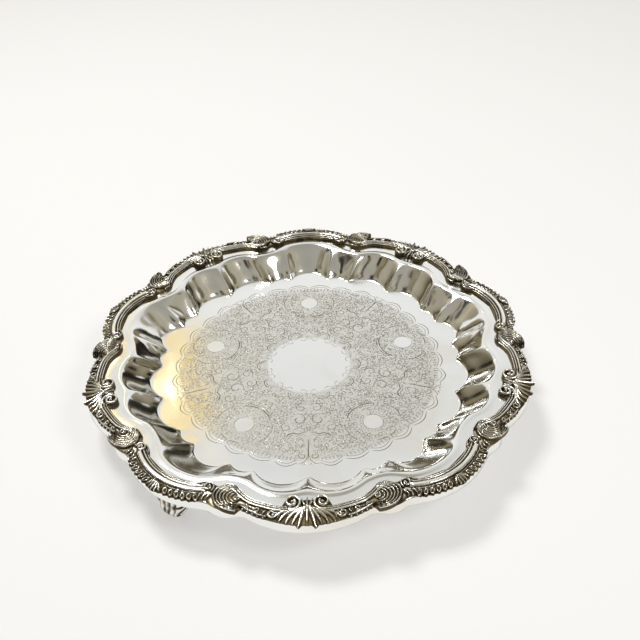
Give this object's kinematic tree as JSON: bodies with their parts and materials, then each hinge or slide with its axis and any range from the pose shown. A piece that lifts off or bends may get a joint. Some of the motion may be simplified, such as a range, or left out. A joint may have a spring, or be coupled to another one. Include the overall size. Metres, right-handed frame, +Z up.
{
  "type": "silver salver",
  "caption": "Footed silver-plated salver with a scalloped, fluted well, a flat engraved centre, an applied border of shells, scrolls and gadroons, and cast scroll feet.",
  "frame": {"origin": "on the surface the feet stand on, under the middle of the salver", "axes": "+Z up through the middle of the well; -Y through palmette_1, +Y through the middle of the lobe opposite it"},
  "size_m": [0.3222, 0.3328, 0.0405],
  "materials": {
    "sheet_silver": "polished silver plate, engraved centre",
    "cast_border": "polished cast mounts with dark oxidised recesses",
    "cast_feet": "polished cast feet with dark oxidised recesses"
  },
  "bodies": {
    "root": {"tray_body": "sheet_silver", "palmette_1": "cast_border", "lobe_border_1": "cast_border", "s_scroll_border_1_left": "cast_border", "fan_shell_1_left": "cast_border", "s_scroll_border_1_right": "cast_border", "fan_shell_1_right": "cast_border", "palmette_2": "cast_border", "lobe_border_2": "cast_border", "s_scroll_border_2_left": "cast_border", "fan_shell_2_left": "cast_border", "s_scroll_border_2_right": "cast_border", "fan_shell_2_right": "cast_border", "palmette_3": "cast_border", "lobe_border_3": "cast_border", "s_scroll_border_3_left": "cast_border", "fan_shell_3_left": "cast_border", "s_scroll_border_3_right": "cast_border", "fan_shell_3_right": "cast_border", "palmette_4": "cast_border", "lobe_border_4": "cast_border", "s_scroll_border_4_left": "cast_border", "fan_shell_4_left": "cast_border", "s_scroll_border_4_right": "cast_border", "fan_shell_4_right": "cast_border", "palmette_5": "cast_border", "lobe_border_5": "cast_border", "s_scroll_border_5_left": "cast_border", "fan_shell_5_left": "cast_border", "s_scroll_border_5_right": "cast_border", "fan_shell_5_right": "cast_border", "foot_1": "cast_feet", "foot_plate_1": "cast_feet", "foot_2": "cast_feet", "foot_plate_2": "cast_feet", "foot_3": "cast_feet", "foot_plate_3": "cast_feet"}
  },
  "joints": []
}
